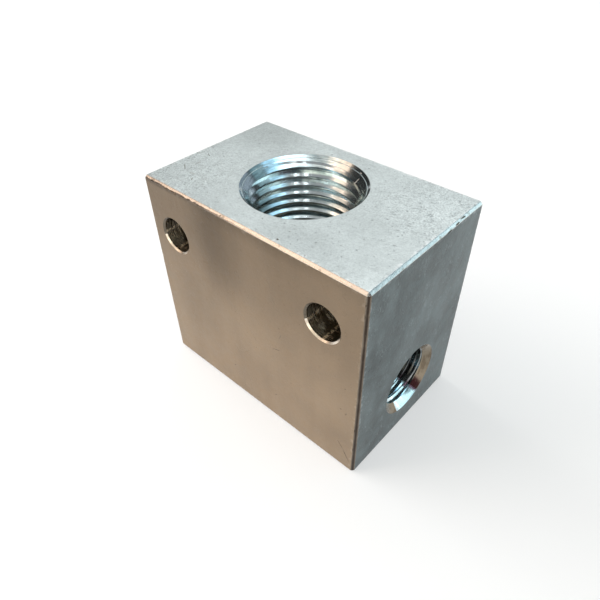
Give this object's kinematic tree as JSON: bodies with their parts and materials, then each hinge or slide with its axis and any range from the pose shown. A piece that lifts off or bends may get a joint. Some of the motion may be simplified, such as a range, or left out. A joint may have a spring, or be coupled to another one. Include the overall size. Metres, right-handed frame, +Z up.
{
  "type": "aluminium manifold",
  "caption": "Rectangular air manifold block with a large taper pipe port on top, a smaller one in its side, a drilled gallery that joins them, and bolt holes from front to back.",
  "frame": {"origin": "middle of the block's underside", "axes": "+X along the block's longest side and out of the small port, +Y from the front face to the back face, +Z up and out of the large port"},
  "size_m": [0.048, 0.03, 0.0417],
  "materials": {
    "aluminium": "milled and lightly tumbled, satin outside, bright where drilled and tapped"
  },
  "bodies": {
    "root": {"manifold_block": "aluminium"}
  },
  "joints": []
}
